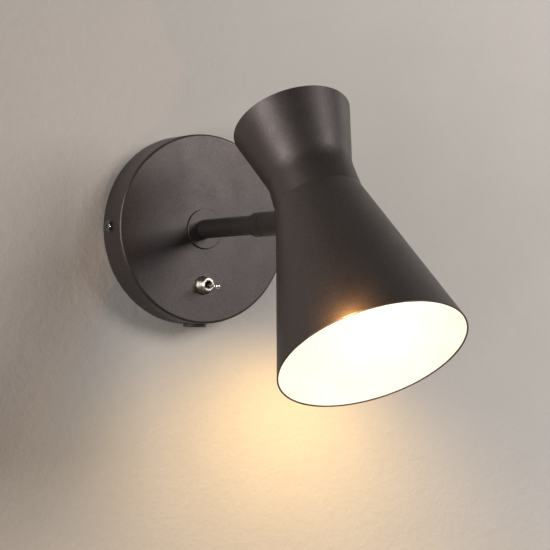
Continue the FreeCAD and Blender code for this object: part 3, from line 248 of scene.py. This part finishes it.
def plastic(name, color, roughness, grain=0.35):
    """Moulded plastic with a fine spark-eroded grain of a size in millimetres."""
    m = Shader(name, color, roughness)
    value = m.noise(grain)
    darker = tuple(0.9 * c for c in color)
    lighter = tuple(1.08 * c + 0.003 for c in color)
    m.set("Base Color", m.tones(m.noise(6.0), darker, lighter))
    m.set("Roughness", m.spread(value, roughness * 0.85, roughness * 1.15))
    m.set("Normal", m.bump(value, 0.02, 0.3))
    return m.material


def opal_glass():
    """Opal globe that is lit from within, in a warm light with faint clouds."""
    m = Shader("opal_globe", (0.93, 0.9, 0.84), 0.22, Emission_Strength=1.0)
    m.set("Emission Color", m.tones(m.noise(12.0), (1.0, 0.86, 0.62), (1.0, 0.9, 0.7)))
    return m.material


# The wall's paint darkens towards the left as painted shade, between these two places, in metres across it.
SHADE_RAMP_LEFT, SHADE_RAMP_RIGHT = -0.3, 0.35


def plaster():
    """Warm fine plaster with painted shade that makes it darker towards the left. It is clear where it is
    seen from behind.
    """
    m = Shader("plaster", (0.56, 0.51, 0.47), 0.9, Specular_IOR_Level=0.2)
    place = m.node("ShaderNodeSeparateXYZ")
    m.link(m.where, place.inputs[0])
    # Painted shade: the wall's colour runs from dark at the left to light at the right.
    painted_shade = m.tones(place.outputs["X"], (0.435, 0.395, 0.36), (0.75, 0.695, 0.645), SHADE_RAMP_LEFT, SHADE_RAMP_RIGHT)
    clouds = m.tones(m.noise(60.0, 4.0, 0.6), (0.96, 0.96, 0.96), (1.0, 1.0, 1.0))
    m.set("Base Color", m.multiplied(painted_shade, clouds))
    pitted = m.bump(m.noise(1.8, 3.0, 0.6), 0.25, 0.6)
    m.set("Normal", m.bump(m.noise(6.0, 3.0, 0.6), 0.7, 0.6, pitted))

    clear = m.node("ShaderNodeBsdfTransparent")
    side = m.node("ShaderNodeNewGeometry")
    choice = m.node("ShaderNodeMixShader")
    m.link(side.outputs["Backfacing"], choice.inputs[0])
    m.link(m.main.outputs[0], choice.inputs[1])
    m.link(clear.outputs[0], choice.inputs[2])
    m.link(choice.outputs[0], m.tree.nodes["Material Output"].inputs["Surface"])
    return m.material


COAT = powder_coat()
FINISH = {
    "black_coat": COAT,
    "black_satin": satin_black("satin_black", 0.4, 0.75),
    "black_chrome": plating("dark_chrome", (0.3, 0.3, 0.31), 0.17),
    "nickel": plating("nickel", (0.86, 0.79, 0.7), 0.24),
    "zinc_steel": zinc(),
    "brass": brass(),
    "black_plastic": plastic("black_plastic", (0.03, 0.03, 0.03), 0.4),
    "white_plastic": plastic("white_plastic", (0.84, 0.84, 0.8), 0.38),
    "grommet_rubber": plastic("rubber", (0.022, 0.021, 0.021), 0.62, 0.5),
    "opal_globe": opal_glass(),
    "lamp_body": plastic("lamp_body", (0.85, 0.85, 0.82), 0.25, 0.8),
}
# Pieces that differ from the rest of their slot: the knuckle is matt, and the switch's frame has a dark
# plating whose colour also paints the shade in its bore.
MATT = satin_black("matt_black", 0.52, 0.4)
OWN_FINISH = {
    "knuckle_socket": MATT,
    "knuckle_fork": MATT,
    "knuckle_tongue": MATT,
    # Painted shade: the frame's plating is kept very dark so that the bore of the bushing reads dark.
    "toggle_frame": plating("dark_plating_painted_shade", (0.08, 0.075, 0.07), 0.3),
}
for part in frame["record"]["subparts"]:
    finish = OWN_FINISH.get(part["node"], FINISH[part["material_slot"]])
    for slot in NODES[part["node"]].material_slots:
        slot.material = finish


# ------------------------------------------------------------------ turned pieces
def rounded_profile(corners, step):
    """Closed outline of (radius, height, round): each corner becomes an arc, in steps of some degrees."""
    points = []
    for i, (radius, height, size) in enumerate(corners):
        here = Vector((radius, height))
        before = Vector(corners[i - 1][:2])
        after = Vector(corners[(i + 1) % len(corners)][:2])
        a = (before - here).normalized()
        b = (after - here).normalized()
        half = a.angle(b) / 2
        back = size / math.tan(half)
        centre = here + (a + b).normalized() * (size / math.sin(half))
        start = here + a * back - centre
        end = here + b * back - centre
        sweep = math.atan2(start.x * end.y - start.y * end.x, start.dot(end))
        count = max(3, int(abs(math.degrees(sweep)) / step) + 1)
        for k in range(count + 1):
            points.append(centre + start @ Matrix.Rotation(-sweep * k / count, 2))
    return points


def with_support(points, gap=0.25, longest=6.0):
    """Adds points close to the ends of long runs, so that flats shade flat, and splits very long runs."""
    out = []
    for i, here in enumerate(points):
        after = points[(i + 1) % len(points)]
        out.append(here)
        run = after - here
        if run.length > 3 * gap:
            step = run.normalized() * gap
            out.append(here + step)
            parts = max(1, int(run.length / longest))
            for k in range(1, parts):
                out.append(here + run * k / parts)
            out.append(after - step)
    return out


def lathe(name, points, frame_matrix, materials, chooser, around):
    """Turns a closed outline about the local Z axis. chooser(height, index) gives the material's number."""
    mesh = bpy.data.meshes.new(name)
    bm = bmesh.new()
    rings = []
    for p in points:
        rings.append([
            bm.verts.new(frame_matrix @ Vector((p.x * math.cos(t), p.x * math.sin(t), p.y)))
            for t in (2 * math.pi * k / around for k in range(around))
        ])
    for i, ring in enumerate(rings):
        after = (i + 1) % len(rings)
        other = rings[after]
        number = chooser((points[i].y + points[after].y) / 2, i)
        for k in range(around):
            beside = (k + 1) % around
            face = bm.faces.new((ring[k], ring[beside], other[beside], other[k]))
            face.smooth = True
            face.material_index = number
    bmesh.ops.recalc_face_normals(bm, faces=bm.faces)
    bm.to_mesh(mesh)
    bm.free()
    for material in materials:
        mesh.materials.append(material)
    return add_object(name, mesh)


DRILL_SIDES = 64
SHARP_ANGLE = math.radians(40)


def drill(piece, start, direction, radius, length):
    """Cuts a round hole, in row-frame metres, and keeps the result as the piece's mesh."""
    mesh = bpy.data.meshes.new("drill")
    bm = bmesh.new()
    bmesh.ops.create_cone(
        bm, cap_ends=True, segments=DRILL_SIDES, radius1=radius, radius2=radius, depth=length,
    )
    turn = Vector((0, 0, 1)).rotation_difference(direction).to_matrix().to_4x4()
    middle = start + direction.normalized() * length / 2
    bm.transform(Matrix.Translation(middle) @ turn)
    bm.to_mesh(mesh)
    bm.free()
    tool = add_object("drill", mesh)
    cut = piece.modifiers.new("cut", "BOOLEAN")
    cut.operation = "DIFFERENCE"
    cut.solver = "EXACT"
    cut.object = tool
    graph = bpy.context.evaluated_depsgraph_get()
    result = bpy.data.meshes.new_from_object(piece.evaluated_get(graph))
    piece.modifiers.clear()
    old = piece.data
    piece.data = result
    result.name = piece.name
    bpy.data.meshes.remove(old)
    bpy.data.objects.remove(tool)
    result.set_sharp_from_angle(angle=SHARP_ANGLE)


# ------------------------------------------------------------------ shade: black outside, white within
# Heights along the shade's axis and outer radii, in millimetres. The inside runs one sheet further in.
MOUTH, NECK_LOW, NECK_HIGH, CUP_TOP = -116.5, -12.0, 7.0, 45.9
MOUTH_RADIUS, NECK_LOW_RADIUS, NECK_HIGH_RADIUS, CUP_RADIUS = 55.7, 26.3, 25.5, 35.9
NECK_LOW_ROUND, NECK_HIGH_ROUND = 8.0, 30.0
SHEET, EDGE_ROUND, INNER_EDGE_ROUND = 1.0, 0.4, 0.35
STUD_HOLE_RADIUS, STUD_HOLE_START, STUD_HOLE_LENGTH = 5.15, 10.0, 30.0
# Black paint goes over the lip to the first height inside, and again from the second, by the lid.
LIP_PAINT, LID_PAINT = MOUTH + 0.6, CUP_TOP - 6.0
SHADE_AROUND = 256
COAT_SLOT, WHITE_SLOT = 0, 1

outline = [
    (MOUTH_RADIUS, MOUTH, EDGE_ROUND),
    (NECK_LOW_RADIUS, NECK_LOW, NECK_LOW_ROUND),
    (NECK_HIGH_RADIUS, NECK_HIGH, NECK_HIGH_ROUND),
    (CUP_RADIUS, CUP_TOP, EDGE_ROUND),
    (CUP_RADIUS - SHEET, CUP_TOP, INNER_EDGE_ROUND),
    (NECK_HIGH_RADIUS - SHEET, NECK_HIGH, NECK_HIGH_ROUND + SHEET),
    (NECK_LOW_RADIUS - SHEET, NECK_LOW, NECK_LOW_ROUND + SHEET),
    (MOUTH_RADIUS - SHEET, MOUTH, INNER_EDGE_ROUND),
]
shade_points = with_support(rounded_profile(outline, 3.0))
INSIDE_FROM = len(shade_points) // 2


def shade_paint(height, index):
    """Paint of the strip that starts at a point of the outline."""
    white = index >= INSIDE_FROM and LIP_PAINT <= height <= LID_PAINT
    return WHITE_SLOT if white else COAT_SLOT


def split_inside(points, height):
    """Adds a point where the inside crosses a height, for a clean edge between paints."""
    out = []
    for i, here in enumerate(points):
        out.append(here)
        after = points[(i + 1) % len(points)]
        if i >= INSIDE_FROM and (here.y - height) * (after.y - height) < 0:
            share = (height - here.y) / (after.y - here.y)
            out.append(here + (after - here) * share)
    return out


shade_points = split_inside(shade_points, LIP_PAINT)
shade = lathe("shade_skin", shade_points, HEAD, [COAT, inner_white()], shade_paint, SHADE_AROUND)
hole_start = (HEAD_ORIGIN + HEAD_Y * STUD_HOLE_START) * MM
drill(shade, hole_start, HEAD_Y, STUD_HOLE_RADIUS * MM, STUD_HOLE_LENGTH * MM)
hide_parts("shade")
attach(shade, "head")


# ------------------------------------------------------------------ wall
WALL_Y = 0.0006
WALL_AROUND = 96
# The opening behind the canopy, a ring for even faces and the wall's edge, in metres.
WALL_RADII = (0.057, 0.3, 5.0)


def add_wall():
    """Round wall that faces the room, with an opening that the canopy hides."""
    mesh = bpy.data.meshes.new("wall")
    bm = bmesh.new()
    rings = [[
        bm.verts.new((radius * math.cos(t), WALL_Y, radius * math.sin(t)))
        for t in (2 * math.pi * k / WALL_AROUND for k in range(WALL_AROUND))
    ] for radius in WALL_RADII]
    for inner, outer in zip(rings, rings[1:]):
        for k in range(WALL_AROUND):
            beside = (k + 1) % WALL_AROUND
            bm.faces.new((inner[k], inner[beside], outer[beside], outer[k]))
    bm.normal_update()
    bm.faces.ensure_lookup_table()
    if bm.faces[0].normal.y > 0:
        bmesh.ops.reverse_faces(bm, faces=bm.faces)
    bm.to_mesh(mesh)
    bm.free()
    mesh.materials.append(plaster())
    return add_object("wall", mesh)


add_wall()


# ------------------------------------------------------------------ lamps
def add_light(name, kind, place, power, color):
    """Adds a lamp of a kind at a place in metres, with a power in watts."""
    data = bpy.data.lights.new(name, kind)
    data.energy = power
    data.color = color
    made = add_object(name, data)
    made.location = place
    return made


def aim(lamp, direction):
    """Turns a lamp to shine along a direction."""
    lamp.rotation_mode = "QUATERNION"
    lamp.rotation_quaternion = Vector(direction).to_track_quat("-Z", "Y")


# Soft lamps of the room: name, place, what it faces, width and height in metres, and power in watts.
DAYLIGHT = (1.0, 0.985, 0.97)
ROOM_LAMPS = (
    ("key", (1.05, -1.75, 0.7), (0.0, -0.08, 0.0), 0.85, 0.85, 25.0),
    ("side", (-1.55, -0.32, 0.2), (0.0, -0.13, 0.0), 0.5, 1.1, 13.0),
    ("fill", (-1.75, -1.15, -0.15), (0.0, -0.05, -0.05), 1.2, 1.2, 13.0),
    ("back", (0.7, 1.3, 0.5), (0.0, 0.0, 0.0), 0.8, 0.8, 12.0),
    ("far", (1.7, -0.25, 0.2), (0.0, -0.13, 0.0), 0.5, 1.0, 4.0),
)
for name, place, target, width, height, power in ROOM_LAMPS:
    lamp = add_light(name, "AREA", place, power, DAYLIGHT)
    lamp.data.shape = "RECTANGLE"
    lamp.data.size = width
    lamp.data.size_y = height
    aim(lamp, Vector(target) - Vector(place))

# Light of the lit globe on the shade's white inside, from just below the globe.
BULB_PLACE = HEAD @ Vector((0.0, 0.0, -90.0))
bulb = add_light("bulb_light", "POINT", BULB_PLACE, 0.06, (1.0, 0.9, 0.76))
bulb.data.shadow_soft_size = 0.012
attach(bulb, "head")

# Warm pool on the wall under the shade, in metres and radians.
POOL_PLACE, POOL_DIRECTION, POOL_ANGLE = (0.084, -0.11, -0.048), (-0.03, 0.11, -0.31), 2.344
pool = add_light("pool_light", "SPOT", POOL_PLACE, 1.5, (1.0, 0.64, 0.19))
pool.data.spot_size = POOL_ANGLE
pool.data.spot_blend = 1.0
pool.data.shadow_soft_size = 0.01
aim(pool, POOL_DIRECTION)
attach(pool, "swivel")

# Warm glow at the lip's near left, from a small lamp just off the edge.
LIP_PLACE = HEAD @ Vector((-45.8, -45.8, -119.5))
lip = add_light("lip_light", "POINT", LIP_PLACE, 0.22, (1.0, 0.52, 0.17))
lip.data.shadow_soft_size = 0.002
lip.visible_camera = False
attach(lip, "head")

# ------------------------------------------------------------------ world: dim light, pale where it is seen
SKY_LIGHT, SKY_STRENGTH = (0.95, 0.96, 1.0, 1.0), 0.07
SKY_SEEN = (0.78, 0.76, 0.73, 1.0)

world = bpy.data.worlds.new("world")
bpy.context.scene.world = world
world.use_nodes = True
tree = world.node_tree
base = tree.nodes["Background"]
base.inputs["Color"].default_value = SKY_LIGHT
base.inputs["Strength"].default_value = SKY_STRENGTH
seen = tree.nodes.new("ShaderNodeBackground")
seen.inputs["Color"].default_value = SKY_SEEN
path = tree.nodes.new("ShaderNodeLightPath")
mix = tree.nodes.new("ShaderNodeMixShader")
tree.links.new(path.outputs["Is Camera Ray"], mix.inputs[0])
tree.links.new(base.outputs[0], mix.inputs[1])
tree.links.new(seen.outputs[0], mix.inputs[2])
tree.links.new(mix.outputs[0], tree.nodes["World Output"].inputs["Surface"])

bpy.context.scene.view_settings.view_transform = "Standard"
